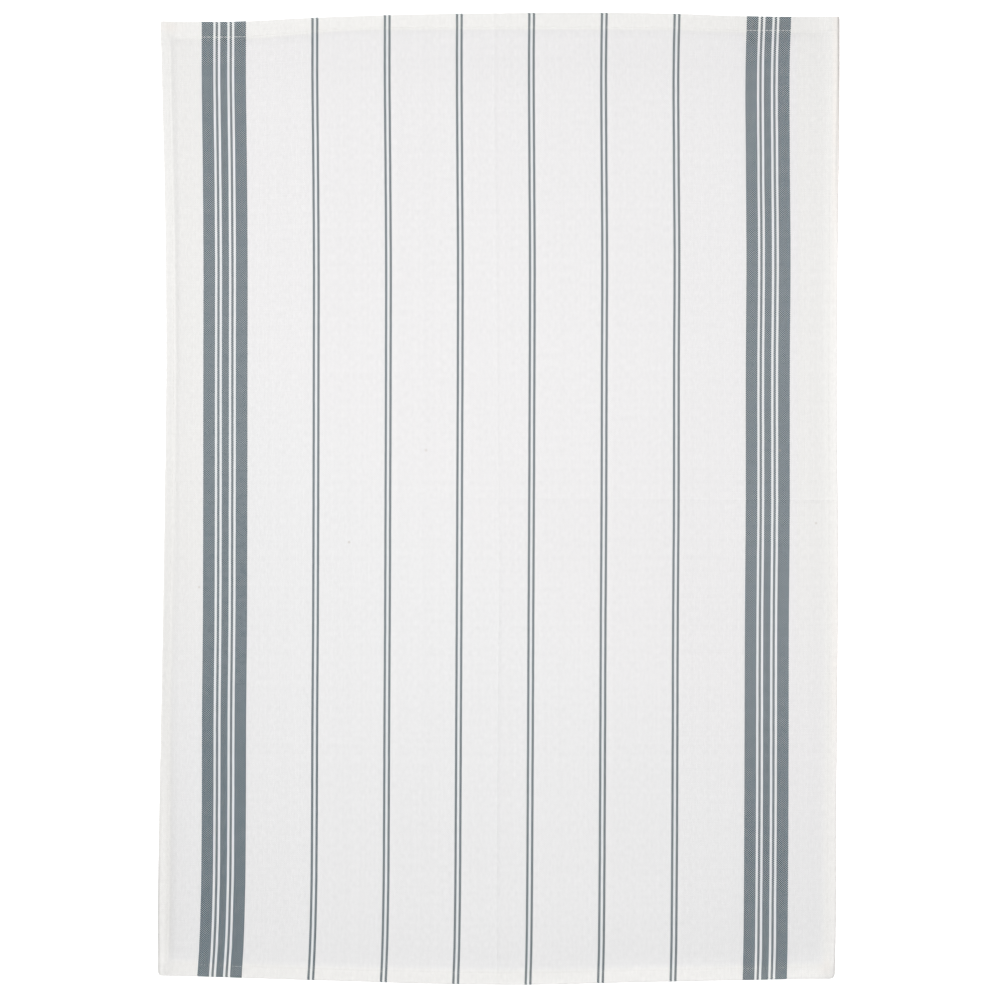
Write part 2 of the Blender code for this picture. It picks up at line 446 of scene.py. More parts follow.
def drift(x, t):
    """The three lines' drift, mixed in proportion to how near x is to each."""
    lines = ("left", "middle", "right")
    left, middle, right = (smooth_curve(DRIFT["at"], DRIFT[line], t) for line in lines)
    first, second, third = DRIFT_LINES
    of_left = np.clip((second - x) / (second - first), 0, 1)
    of_right = np.clip((x - second) / (third - second), 0, 1)
    leaning = of_left * left + of_right * right + (1 - of_left - of_right) * middle
    return leaning + smooth_curve(CROWDING["at"], CROWDING["off"], x)


across, along = round_corners(across, along)
shift_x = np.clip(1 - np.abs(across) / FOLLOW, 0, 1) * upright_line(along)
shift_y = np.clip(1 - np.abs(along) / FOLLOW, 0, 1) * level_line(across)
across, unfolded_x = across + shift_x, unfolded_x + shift_x
along, unfolded_y = along + shift_y, unfolded_y + shift_y
x, y = bend(across, along)
x, y = x - MIDDLE_X, y - MIDDLE_Y
z = REST + height + relief(across, along)
yarn_x = unfolded_x + (x - across) - drift(x, t)
print("drift from", round(drift(x, t).min() * 1000, 1), "to", round(drift(x, t).max() * 1000, 1), "mm")

# %% [markdown]
# Hems are not equally bright all round. Each side's tone, its outermost edge and the crook of its
# inner fold carry painted light and shade: the lit and shaded slopes of the rolled hems, painted
# shade and light on the edge that turns from the lamp, and a painted shadow at the foot of the
# inner fold. The right side and two of the corners have a warmer, creamy tinge, and the open cloth
# gets wide soft patches of painted light and shade where its slow relief faces the lamp or turns
# away from it. We keep all this as two numbers for each point, the painted light and shade and a
# warmth, which the finish mixes in later.

# %% Painted light and shade on the cloth, and how warm each hem is
PAINTED_HEM_LIGHT = {                 # painted light and shade along each side: places, tone at the outer fold, tone at the inner fold
    "left": ((0, 0.09, 0.18, 0.30, 0.42, 0.60, 0.80, 0.93, 1),
             (1.000, 1.008, 0.985, 0.910, 0.911, 0.953, 0.976, 0.968, 0.970),
             (0.950, 0.937, 0.930, 0.944, 0.950, 0.973, 0.990, 0.986, 0.980)),
    "right": ((0, 0.15, 0.30, 0.43, 0.60, 0.85, 1),
              (1.005, 1.000, 0.998, 0.996, 1.012, 1.020, 1.018),
              (0.990, 0.981, 0.970, 0.973, 0.980, 0.986, 0.986)),
    "bottom": ((0, 0.15, 0.30, 0.50, 0.60, 0.70, 0.85, 1),
               (0.995, 1.000, 0.998, 1.005, 1.022, 1.035, 1.037, 1.085),
               (1.000, 0.990, 1.004, 1.000, 0.996, 1.034, 1.022, 1.026)),
    "top": ((0, 0.15, 0.30, 0.50, 0.60, 0.70, 0.82, 1),
            (0.985, 0.980, 0.984, 0.982, 0.976, 0.983, 0.963, 0.928),
            (0.985, 0.980, 0.982, 0.984, 0.982, 0.988, 0.963, 0.924)),
}
PAINTED_RIM = {                  # places, painted shade at the rim as light lost (below zero: painted light gained), how far in, in mm
    "left": ((0, 0.05, 0.09, 0.13, 0.18, 0.23, 0.30, 0.42, 0.50, 0.60, 0.84, 0.93, 1),
             (0.22, 0.26, 0.26, 0.15, 0.10, -0.03, -0.09, -0.09, -0.04, -0.01, -0.02, -0.04, -0.04),
             (0.90, 0.90, 0.90, 1.0, 1.05, 0.7, 0.5, 0.5, 0.5, 0.4, 0.4, 0.4, 0.4)),
    "right": ((0, 0.08, 0.16, 0.28, 0.40, 0.60, 0.72, 0.78, 0.84, 0.90, 0.94, 1),
              (0.10, 0.01, -0.01, -0.045, -0.05, -0.055, -0.07, -0.02, 0.13, 0.26, 0.37, 0.34),
              (0.4, 0.4, 0.4, 0.3, 0.3, 0.3, 0.25, 0.8, 1.5, 1.2, 0.95, 0.95)),
    "bottom": ((0, 0.30, 0.60, 0.72, 0.90, 0.96, 1),
               (-0.04, -0.035, -0.046, -0.016, -0.01, 0.03, 0.10),
               (0.4, 0.4, 0.4, 0.4, 0.4, 0.8, 0.6)),
    "top": ((0, 0.28, 0.45, 0.62, 0.80, 1),
            (0, -0.015, 0, 0.022, -0.015, 0.025),
            (0.5, 0.5, 0.8, 1.2, 0.6, 1.2)),
}
CROOK_SHADOW = {                # places, and the painted shadow in the crook of the inner fold, as light lost
    "left": ((0, 0.08, 0.18, 0.30, 0.42, 0.60, 0.72, 0.84, 1),
             (0.085, 0.070, 0.04, 0.025, 0.018, 0.025, 0.050, 0.05, 0.045)),
    "right": ((0, 1), (0, 0)),
    "bottom": ((0, 1), (0, 0)),
    "top": ((0, 1), (0.02, 0.02)),
}
# how far the rim's painted shade and light reach to both sides of its line
RIM_REACH = {"left": 0.0006, "right": 0.0007, "bottom": 0.0006, "top": 0.0007}
CROOK_OFF = 0.0003                     # from the inner fold to the middle of the crook's painted shadow
CROOK_WIDTH = (0.0005, 0.0032)         # towards the hem, and towards the open cloth
TONE_CHANGE = (0.35, 0.85)             # where in a hem's width the outer tone becomes the inner one
PAINTED_LIGHT_PATCHES = (               # painted light and shade of the slow relief, in soft oval patches: x, y, half sizes, light gained or lost
    (0.228, 0.100, 0.010, 0.350, 0.010),
    (-0.195, -0.139, 0.035, 0.200, -0.015),
    (0.148, -0.045, 0.035, 0.120, -0.014),
    (0.056, -0.030, 0.070, 0.040, -0.014),
    (0.040, -0.300, 0.120, 0.030, 0.014),
    (0.050, 0.315, 0.220, 0.020, -0.010),
)
# how creamy the right hem's edge is, from the bottom up, and how far in that goes
WARM_EDGE = ((0, 0.05, 0.20, 0.31, 0.41, 0.57, 0.71, 0.82, 0.93, 1),
             (0, 0.1, 0.25, 0.7, 0.4, 0.15, 0.4, 0.8, 1.0, 0.8))
WARM_REACH = (0.0030, 0.0065)
WARM_SPOTS = (           # x, y, half sizes
    (-0.2385, 0.3415, 0.0065, 0.0040),
    (0.2367, -0.3383, 0.0050, 0.0055),
)


def smooth_step(value, low, high):
    """An S curve from 0 at low to 1 at high: share squared * (3 - 2 * share)."""
    share = np.clip((value - low) / (high - low), 0, 1)
    return share ** 2 * (3 - 2 * share)


def paint_hem_light(name, inset, where):
    """The painted light and shade of a hem: its outer tone, passing into the inner one, times what
    the painted shade at the rim and the painted shadow in the crook leave. Rim and crook both
    fall off as exp(-(distance / width) squared), the rim to both sides of a line that lies a
    little way in."""
    places, outer, inner = PAINTED_HEM_LIGHT[name]
    width = hem_row(name, "width", where)
    outer, inner = smooth_curve(places, outer, where), smooth_curve(places, inner, where)
    places, loss, line = PAINTED_RIM[name]
    from_line = inset - MM * smooth_curve(places, line, where)
    rim = smooth_curve(places, loss, where) * np.exp(-(from_line / RIM_REACH[name]) ** 2)
    past = inset - width - CROOK_OFF
    crook = smooth_curve(*CROOK_SHADOW[name], where) * np.exp(-(past / np.where(past < 0, *CROOK_WIDTH)) ** 2)
    return outer + (inner - outer) * smooth_step(inset / width, *TONE_CHANGE), 1 - rim, 1 - crook


def soft_oval(spot_x, spot_y, half_x, half_y):
    """1 in the middle of a spot, and exp(-(x / half size) squared - (y / half size) squared)
    away from it."""
    return np.exp(-((x - spot_x) / half_x) ** 2 - ((y - spot_y) / half_y) ** 2)


side_tone, side_rim, side_crook = by_half(across_half, FLANKS, lambda name: paint_hem_light(name, inset_x, t))
end_tone, end_rim, end_crook = by_half(along_half, ENDS, lambda name: paint_hem_light(name, inset_y, s))
side_crook = 1 - (1 - side_crook) * (1 - at_end)
end_crook = 1 - (1 - end_crook) * (1 - on_side)
# painted light and shade of the hems: each side's tone, times painted shade and light at the rim and the
# painted shadow in the crook
painted_shading = 1 + on_side * (side_tone - 1) + (1 - on_side) * at_end * (end_tone - 1)
painted_shading = painted_shading * side_rim * end_rim * side_crook * end_crook
warmth = smooth_curve(*WARM_EDGE, t) * (1 - smooth_step(inset_x, *WARM_REACH)) * (across_half > 0)
for spot in WARM_SPOTS:
    warmth = np.maximum(warmth, soft_oval(*spot))
# painted light and shade in wide soft patches over the open cloth
for *patch, gain in PAINTED_LIGHT_PATCHES:
    painted_shading = painted_shading * (1 + gain * soft_oval(*patch))
print("tone from", round(painted_shading.min(), 3), "to", round(painted_shading.max(), 3))

# %% [markdown]
# ## From arrays to a mesh
# The arrays become one mesh: a vertex for each crossing of two lines, a quad for each cell.
# Solidify then gives the sheet its thickness, half to each side, and closes it at the cut ends.

# %% Make the cloth
def grid_quads(lines_down, lines_along, wrap=False):
    """Corner numbers of every cell in a grid, as pairs (line down, line along). With wrap the
    last line along is joined to the first, which keeps its number for the UV."""
    down, right = np.meshgrid(np.arange(lines_down - 1), np.arange(lines_along - 1 + wrap), indexing="ij")
    corners = [(0, 0), (0, 1), (1, 1), (1, 0)]
    return np.stack([np.stack([down + i, right + j], -1) for i, j in corners], -2).reshape(-1, 4, 2)


def make_piece(name, points, faces, corner_uv, uv_name):
    """A mesh object from vertex places, faces as lists of vertex numbers, and one UV for each
    corner of each face in turn."""
    mesh = bpy.data.meshes.new(name)
    mesh.from_pydata(points.reshape(-1, 3), [], faces)
    mesh.uv_layers.new(name=uv_name).data.foreach_set("uv", corner_uv.astype(np.float32).ravel())
    mesh.shade_smooth()
    piece = bpy.data.objects.new(name, mesh)
    bpy.context.scene.collection.objects.link(piece)
    return piece


corners = grid_quads(*x.shape)
uv = np.stack([yarn_x / CUT[0] + 0.5, unfolded_y / CUT[1] + 0.5], -1)
numbers = corners[..., 0] * x.shape[1] + corners[..., 1]
cloth = make_piece("cloth", np.stack([x, y, z], -1), numbers.tolist(),
                   uv[corners[..., 0], corners[..., 1]], "yarns")
# the mesh carries the hem's layers, the painted light and shade, and the warmth
for name, values in (("hem_layers", hem_layers), ("painted_shading", painted_shading), ("hem_warmth", warmth)):
    attribute = cloth.data.attributes.new(name, "FLOAT", "POINT")
    attribute.data.foreach_set("value", values.astype(np.float32).ravel())
thickness = cloth.modifiers.new("thickness", "SOLIDIFY")
thickness.thickness = SHEET
thickness.offset = 0
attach(cloth, "root")
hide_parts("tea_towel")
print("cloth:", len(cloth.data.polygons), "cells, before it gets its second side")

# %% [markdown]
# ## The seams
# A sewing machine leaves two threads. The needle's thread lies on top and dives into a hole at
# the end of each stitch, and the bobbin's thread does the same from below. At this size they
# are half a pixel wide, but they catch the light, cross the blue stripes as pale dashes, and
# give each hem its inner edge. We could paint them, but a thin tube along each row of stitches
# holds up when the towel is seen from the side or from below.
#
# The height of the tube's middle between two holes is the cloth's surface plus a little, less a
# dive that is strong only near the holes: the fourth power of the distance from mid-stitch. Some
# stitches were pulled tighter than others, and those lie deeper all along.

# %% Where the seams run
STITCH = 2.8 * MM
STITCH_UNEVEN = 0.07     # share by which one stitch is longer than the next
THREAD = 0.15 * MM       # radius
DIVE = 0.42 * MM         # from mid-stitch down into the hole
LEAN = 0.10 * MM         # sideways, over one stitch
SWAY = 0.05 * MM         # sideways, from one stitch to the next
TIGHT = 0.05 * MM        # how much deeper a tight stitch lies
# height of the needle's thread over the cloth on each side, and depth of the bobbin's below it
STAND = {"left": 0.03 * MM, "right": 0.0 * MM, "bottom": -0.05 * MM, "top": 0.06 * MM}
HANG = 0.03 * MM
# from the towel's corner to the first stitch
SEAM_ENDS = {"left": 0.9 * MM, "right": 0.9 * MM, "bottom": 1.7 * MM, "top": 1.7 * MM}
# where in a stitch the path has its points, closer together near the holes
PHASES = np.array([0.0, 0.06, 0.16, 0.33, 0.5, 0.67, 0.84, 0.94])
rng = np.random.default_rng(7)


def top_layer(across, along):
    """Height of the middle of the uppermost layer at any place of the plain rectangle, worked
    out with the same rules as the grid."""
    s, t = across / WIDTH + 0.5, along / LENGTH + 0.5
    from_side, from_end = WIDTH / 2 - np.abs(across), LENGTH / 2 - np.abs(along)
    beside = by_half(across, FLANKS, lambda name: on_hem(name, from_side, 0.5))
    at_end = by_half(along, ENDS, lambda name: on_hem(name, from_end, s, beside))
    stack = 2 * at_end * by_half(along, ENDS, lambda name: layer_gap(name, from_end, s, beside))
    rise = by_half(across, FLANKS, lambda name: on_hem(name, from_side, t, at_end) * (
        stack + layer_gap(name, from_side, t, at_end, stack)))
    return REST + stack + 2 * rise + relief(across, along)


def seam_path(name):
    """Points along one row of stitches: place along the side, inset of the seam, and how far
    through its stitch each point is. Each stitch is a little longer or shorter than the next."""
    size = LENGTH if name in FLANKS else WIDTH
    start, end = -size / 2 + SEAM_ENDS[name], size / 2 - SEAM_ENDS[name]
    count = round((end - start) / STITCH)
    lengths = 1 + STITCH_UNEVEN * rng.standard_normal(count)
    holes = start + (end - start) * np.concatenate([[0], np.cumsum(lengths)]) / lengths.sum()
    along = np.append((holes[:-1, None] + PHASES * np.diff(holes)[:, None]).ravel(), end)
    phase = np.append(np.tile(PHASES, count), 1.0)
    sway = np.repeat(SWAY * rng.standard_normal(count + 1), len(PHASES))[:len(along)]
    lean = LEAN * (phase - 0.5)
    inset = hem_row(name, "width", along / size + 0.5) - HEMS[name]["seam"] + lean + sway
    return along, inset, phase


def seam_points(name, below):
    """The seam's middle line in space, on top of the cloth or under it."""
    along, inset, phase = seam_path(name)
    half = -1 if name in ("left", "bottom") else 1
    size = WIDTH if name in FLANKS else LENGTH
    off = half * (size / 2 - inset)
    plain = (off, along) if name in FLANKS else (along, off)
    sunk = TIGHT * np.repeat(rng.standard_normal(len(along) // len(PHASES) + 1), len(PHASES))
    dive = DIVE * np.abs(2 * phase - 1) ** 4 + np.maximum(sunk[:len(along)], 0)
    upper = top_layer(*plain) + SHEET / 2 + STAND[name] - dive
    lower = REST + relief(*plain) - SHEET / 2 - HANG + dive
    x, y = bend(*plain)
    return np.column_stack([x - MIDDLE_X, y - MIDDLE_Y, lower if below else upper])


print("stitches on the left side:", len(seam_points("left", False)) // len(PHASES))

# %% [markdown]
# A tube is a ring carried along a path. At each point the ring stands square to the path: one
# of its axes is level, and the other is square to that axis and to the path. Both ends close
# with a face, so that nothing is left open.

# %% Carry a ring along each seam
SIDES_OF_THREAD = 6


def tube(path, radius, sides):
    """Rings of radius r: point = path + r * (cos(angle) * level axis + sin(angle) * upper axis).
    Gives the points, the faces, and each corner's UV: length along the path, share of a turn."""
    ahead = np.gradient(path, axis=0)
    ahead /= np.linalg.norm(ahead, axis=1, keepdims=True)
    level = np.cross(ahead, [0, 0, 1])
    level /= np.linalg.norm(level, axis=1, keepdims=True)
    upper = np.cross(level, ahead)
    angle = 2 * np.pi * np.arange(sides) / sides
    ring = np.cos(angle)[:, None] * level[:, None] + np.sin(angle)[:, None] * upper[:, None]
    points = path[:, None] + radius * ring
    corners = grid_quads(len(path), sides, wrap=True)[:, ::-1]
    faces = (corners[..., 0] * sides + corners[..., 1] % sides).tolist()
    length = np.append(0, np.cumsum(np.linalg.norm(np.diff(path, axis=0), axis=1)))
    uv = np.stack([length[corners[..., 0]], corners[..., 1] / sides], -1).reshape(-1, 2)
    last = (len(path) - 1) * sides
    caps = [list(range(sides)), list(range(last, last + sides))[::-1]]
    return points.reshape(-1, 3), faces + caps, np.concatenate([uv, np.zeros((2 * sides, 2))])


def sew(name, below):
    """One piece with the four seams of one thread."""
    points, faces, uv = [], [], []
    for side in ("bottom", "top", "left", "right"):
        places, new_faces, new_uv = tube(seam_points(side, below), THREAD, SIDES_OF_THREAD)
        first = sum(len(group) for group in points)
        faces += [[number + first for number in face] for face in new_faces]
        points.append(places)
        uv.append(new_uv)
    thread = make_piece(name, np.concatenate(points), faces, np.concatenate(uv), "twist")
    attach(thread, "root")
    print(name, "has", len(faces), "faces")
    return thread


needle_thread = sew("needle_thread", below=False)
bobbin_thread = sew("bobbin_thread", below=True)

# %% [markdown]
# ## Writing shader maths
# The weave will be arithmetic on two coordinates, and arithmetic reads best as arithmetic. One
# small class wraps an output socket and gives it operators, so that a line such as 1 - mask
# adds the Math node by itself. Every other node comes from one method, add.

# %% A socket with operators
class Wire:
    """An output socket that can be added, multiplied and compared."""

    def __init__(self, finish, socket):
        self.finish, self.socket = finish, socket

    def math(self, operation, *values):
        """A Math node on any sockets and numbers."""
        return self.finish.add("ShaderNodeMath", {"operation": operation}, dict(enumerate(values)))

    def __add__(self, other):
        return self.math("ADD", self, other)

    def __sub__(self, other):
        return self.math("SUBTRACT", self, other)

    def __rsub__(self, other):
        return self.math("SUBTRACT", other, self)

    def __mul__(self, other):
        return self.math("MULTIPLY", self, other)

    def __truediv__(self, other):
        return self.math("DIVIDE", self, other)

    def __rtruediv__(self, other):
        return self.math("DIVIDE", other, self)

    def __gt__(self, other):
        return self.math("GREATER_THAN", self, other)

    def __lt__(self, other):
        return self.math("LESS_THAN", self, other)

    __radd__, __rmul__ = __add__, __mul__

    def to(self, operation, *values):
        """Any other Math operation, with this socket first."""
        return self.math(operation, self, *values)

    def spread(self, low, high, bottom=0.0, top=1.0):
        """An S curve that takes low to bottom and high to top, and stays level outside. The
        numbers count the sockets of Map Range."""
        return self.finish.add("ShaderNodeMapRange", {"interpolation_type": "SMOOTHSTEP"},
                               {0: self, 1: low, 2: high, 3: bottom, 4: top})


class Finish:
    """A material, the constants on its shader, and the nodes that are added to it."""

    def __init__(self, name, **constants):
        self.material = bpy.data.materials.new(name)
        self.material.use_nodes = True
        self.tree = self.material.node_tree
        self.shader = self.tree.nodes["Principled BSDF"]
        for socket, value in constants.items():
            self.shader.inputs[socket.replace("_", " ")].default_value = value

    def plug(self, socket, value):
        """A link where the value comes from a node, and otherwise the socket's own value."""
        if isinstance(value, Wire):
            self.tree.links.new(value.socket, socket)
        else:
            socket.default_value = value

    def add(self, kind, settings, sockets, output=0):
        """A node of one type: its settings first, then its sockets' values or links."""
        node = self.tree.nodes.new(kind)
        for name, value in settings.items():
            setattr(node, name, value)
        for name, value in sockets.items():
            self.plug(node.inputs[name], value)
        return Wire(self, node.outputs[output])

    def split(self, vector):
        """The first two parts of a vector."""
        return [self.add("ShaderNodeSeparateXYZ", {}, {0: vector}, axis) for axis in "XY"]

    def join(self, *parts):
        return self.add("ShaderNodeCombineXYZ", {}, dict(enumerate(parts)))

    def blend(self, share, first, second, way="MIX"):
        """Two colours mixed, or one laid over the other in another way. Mix has sockets of the
        same name for numbers, vectors and colours, so these are counted: 6, 7 and output 2."""
        return self.add("ShaderNodeMix", {"data_type": "RGBA", "blend_type": way},
                        {0: share, 6: first, 7: second}, 2)

    def noise(self, vector, scale, detail=2.0):
        """Smooth noise about 0, from roughly -0.5 to 0.5."""
        sockets = {"Vector": vector, "Scale": scale, "Detail": detail}
        return self.add("ShaderNodeTexNoise", {}, sockets) - 0.5

    def toss(self, vector):
        """One even random number for each whole vector, from -0.5 to 0.5."""
        return self.add("ShaderNodeTexWhiteNoise", {}, {"Vector": vector}) - 0.5

    def shade(self, colour, tone):
        """A colour times a number, the same for red, green and blue."""
        return self.blend(1.0, colour, self.join(tone, tone, tone), "MULTIPLY")

    def wear(self, colour, height):
        """Give the shader a colour, and a height in metres as a bump."""
        bump = self.add("ShaderNodeBump", {}, {"Strength": 1.0, "Distance": 1.0, "Height": height})
        self.plug(self.shader.inputs["Base Color"], colour)
        self.plug(self.shader.inputs["Normal"], bump)


print("shader helpers ready")

# %% [markdown]
# ## The weave
# This is plain weave: every crosswise yarn passes over one lengthwise yarn and under the next.
# A picture of it would blur as soon as somebody comes closer, so we compute it. The UV is
# turned into two counts of yarns. The whole part of each count says which yarn we are on, and
# the fraction says where in its width. Whether the sum of the whole parts is odd or even says
# which of the two is on top.
#
# Each yarn's height is a wave along it, plus a round back across it. The higher of the two is
# what we see, and the same heights feed the bump.

# %% Which yarn, and which is on top
# widths and heights are in units of a yarn's own spacing; where a row of numbers is read up or
# across the cloth, it holds two places in metres, and the value at each of them
GROUP = 0.19898          # metres from the towel's middle to the middle of the left stripe group
STRAY = 0.20             # how far a yarn strays sideways
STRAY_SCALE = 60         # and how many times a metre
YARN_WAVE = 0.30         # a yarn's rise and fall
WARP_BACK, WARP_HALF = 0.65, 0.60      # height of its round back, and half its width
WEFT_BACK = 0.30
WEFT_HALF = (-0.30, 0.05, 0.268, 0.288)        # read up: the weave is tighter at the bottom
UNEVEN = 0.08            # how far that half width differs from one crossing to the next
SNUG = 0.25              # how much less of it shows in the left group, lower down
SNUG_ACROSS = (-0.15, -0.05, 1.0, 0.0)
SNUG_UP = (-0.04, 0.05, 1.0, 0.15)
SNUG_BOTTOM = (-0.24, -0.10, 0.55, 1.0)
weave = Finish("woven_cotton", Roughness=0.9, Sheen_Weight=0.08, Sheen_Roughness=0.6,
               Specular_IOR_Level=0.15)

u, v = weave.split(weave.add("ShaderNodeUVMap", {"uv_map": "yarns"}, {}))
metres_x, metres_y = (u - 0.5) * CUT[0], (v - 0.5) * CUT[1]
loose = weave.join(metres_x, metres_y)
warp = (metres_x + GROUP) / WARP + STRAY * weave.noise(loose, STRAY_SCALE)
weft = metres_y / WEFT + STRAY * weave.noise(weave.join(metres_y, metres_x), STRAY_SCALE)
warp_yarn, weft_yarn = warp.to("FLOOR"), weft.to("FLOOR")
in_warp, in_weft = warp.to("FRACT") - 0.5, weft.to("FRACT") - 0.5
odd = 4 * ((warp_yarn + weft_yarn) / 2).to("FRACT") - 1        # 1 at odd crossings, -1 at even ones


def yarn_height(sign, run, across_yarn, back, half):
    """sign * wave * cos(pi * run) + back * sqrt(1 - (across / half width) squared)"""
    wave = sign * YARN_WAVE * (run * np.pi).to("COSINE")
    ratio = across_yarn / half
    return wave + back * (1 - ratio * ratio).to("MAXIMUM", 0.0).to("SQRT")


warp_height = yarn_height(odd, in_weft, in_warp, WARP_BACK, WARP_HALF)
snug = SNUG * metres_x.spread(*SNUG_ACROSS) * metres_y.spread(*SNUG_UP)
snug = snug * metres_y.spread(*SNUG_BOTTOM)
uneven = 1 + UNEVEN * weave.toss(weave.join(warp_yarn, weft_yarn))
weft_half = metres_y.spread(*WEFT_HALF) * (1 - snug) * uneven
weft_height = yarn_height(-1 * odd, in_warp, in_weft, WEFT_BACK, weft_half)
warp_shows = warp_height > weft_height
surface = warp_height.to("MAXIMUM", weft_height)
print("nodes so far:", len(weave.tree.nodes))

# %% [markdown]
# ## The stripes
# Only lengthwise yarns are dyed, so the stripes are a threading plan, as a weaver would write
# it, and the white crosswise yarns show through them as dots. Each outer group counts 10, 2, 2,
# 2, 6, 2, 2, 2, 10 yarns, blue first. Between the groups run six pairs of fine lines, 2 blue, 2
# white, 2 blue, one pair every 62 yarns.

# %% The threading plan
SPAN = 467               # yarns from the middle of one group to the middle of the other
GROUP_PLAN = (3, 2, 2, 2, 10)          # from a group's middle outwards: half of the 6, and so on
PAIR_PLAN = (1, 2)                     # from a pair's middle outwards: half of the 2 white ones, 2 blue
FIRST_PAIR = 78          # yarns from the left group's middle to the first pair's
PAIR_STEP, PAIRS = 62, 6


def within(value, low, high):
    """1 between low and high, and 0 elsewhere."""
    return (value > low) * (value < high)


middle_end, fine_start, fine_end, outer_start, outer_end = np.cumsum(GROUP_PLAN).tolist()
pair_start, pair_end = np.cumsum(PAIR_PLAN).tolist()
place = warp_yarn + 0.5
from_group = place.to("ABSOLUTE").to("MINIMUM", (place - SPAN).to("ABSOLUTE"))
fine_in_group = within(from_group, fine_start, fine_end)
in_group = (from_group < middle_end) + fine_in_group + within(from_group, outer_start, outer_end)
first = FIRST_PAIR - PAIR_STEP / 2
from_pair = (((place - first) / PAIR_STEP).to("FRACT") * PAIR_STEP - PAIR_STEP / 2).to("ABSOLUTE")
among_pairs = within(place, first, first + PAIRS * PAIR_STEP)
in_pair = within(from_pair, pair_start, pair_end) * among_pairs
dyed = in_group + in_pair
between_dyed = (from_group < outer_end) + (from_pair < pair_start) * among_pairs
print("threading plan: groups", SPAN, "yarns apart,", PAIRS, "pairs between")

# %% [markdown]
# ## Colour
# No two cotton yarns are the same. Each one gets its own small step lighter or darker. Along its
# length a white yarn has flecks of a few millimetres, where the spinning was thicker or thinner,
# and a blue one changes more slowly, as it took the dye. Down between the yarns the colour is
# darkened as painted shade.
# The hems look a little warmer and brighter, because three layers let less of the dark through
# than one. A few neps, tiny knots of fibre, are caught in this towel.

# %% White, blue and the painted shade between
WHITE = (0.784, 0.776, 0.780, 1)
LOWER_WHITE = (0.779, 0.777, 0.780, 1)
MARGIN_WHITE = (0.784, 0.777, 0.766, 1)        # beyond the groups, in the upper half
WEFT_LIGHTER = 1.013
HEM_WHITE = (0.832, 0.8245, 0.8085, 1)
HEM_WARM = (0.846, 0.815, 0.784, 1)
BLUE = (0.013, 0.056, 0.081, 1)
FINE_BLUE = (0.028, 0.064, 0.082, 1)           # the two-yarn lines
DYE_TRACE = (0.92, 0.95, 0.965, 1)             # what bleeding left of the white between dyed yarns
YARN_STEP = {"warp": 0.022, "weft": 0.05, "blue": 0.30}        # from one yarn's tone to the next
STEP_ROWS = {"warp": 3.0, "weft": 8.0}         # two different rows of random numbers
FLECK, FLECKS = 0.20, 220              # strength, and how many a metre along a white yarn
FADE, FADES = 0.5, 90                  # the same along a blue one
STAIN, STAINS = 0.02, 9                # and in patches all over the cloth
APART = 0.71             # from one yarn to the next in the noise, so that neighbours differ
LOWER_EDGE = (-0.12, 0.0)              # heights between which the lower white becomes the upper
LOWER_LEAN = 0.8         # how much lower that is at the right, in metres to the metre
MARGIN_START = (0.2150, 0.2175)        # x between which the margin's white begins
MARGIN_HEIGHT = (-0.20, 0.0)           # and the heights between which it does
WARM_PATCHES = (-0.3, 0.1, 0.6, 1.0)   # how a noise becomes the share of warm white in a hem
GAP_SHADE = 0.86          # painted shade: brightness left at the bottom of the gaps between yarns
GAP_DEPTH = (0.25, 0.55)               # yarn heights of a gap's bottom and of its top
HAZE = 0.58              # how far loose fibres veil the weave in the well-ironed middle
HAZE_FROM, HAZE_TO = (-0.23, -0.08), (0.13, 0.29, 1.0, 0.0)    # read up
HAZE_PATCHES = (-0.2, 0.2, 0.6, 1.4)   # how a noise makes it thicker and thinner
VEILED_WARP = 0.75       # share of the lengthwise yarns' colour in that veil
NEPS = ((0.2302, -0.0178), (-0.1084, -0.0316), (-0.0525, 0.0351), (-0.2171, -0.0642), (0.2041, 0.0351))
NEP_EDGE = (0.0007, 0.0014, 0.35, 0.0)         # how a nep fades with the distance from its middle
NEP_BROWN = (0.42, 0.36, 0.30, 1)
WEAVE_RELIEF, FUZZ_RELIEF = 0.10 * MM, 0.03 * MM               # heights in the bump

warp_step = weave.toss(weave.join(warp_yarn, STEP_ROWS["warp"]))
weft_step = weave.toss(weave.join(weft_yarn, STEP_ROWS["weft"]))
blue_fade = weave.noise(weave.join(warp_yarn * APART, metres_y * FADES), scale=1.0)
warp_fleck = weave.noise(weave.join(warp_yarn * APART, metres_y * FLECKS), scale=1.0)
weft_fleck = weave.noise(weave.join(metres_x * FLECKS, weft_yarn * APART), scale=1.0)
stain = weave.noise(loose, STAINS, detail=3.0)
warp_tone = 1 + YARN_STEP["warp"] * warp_step + FLECK * warp_fleck + STAIN * stain
weft_tone = 1 + YARN_STEP["weft"] * weft_step + FLECK * weft_fleck + STAIN * stain
blue_tone = 1 + YARN_STEP["blue"] * warp_step + FADE * blue_fade


def mark(name):
    """A number that the mesh carries for every point of the cloth."""
    return weave.add("ShaderNodeAttribute", {"attribute_name": name}, {}, "Fac")


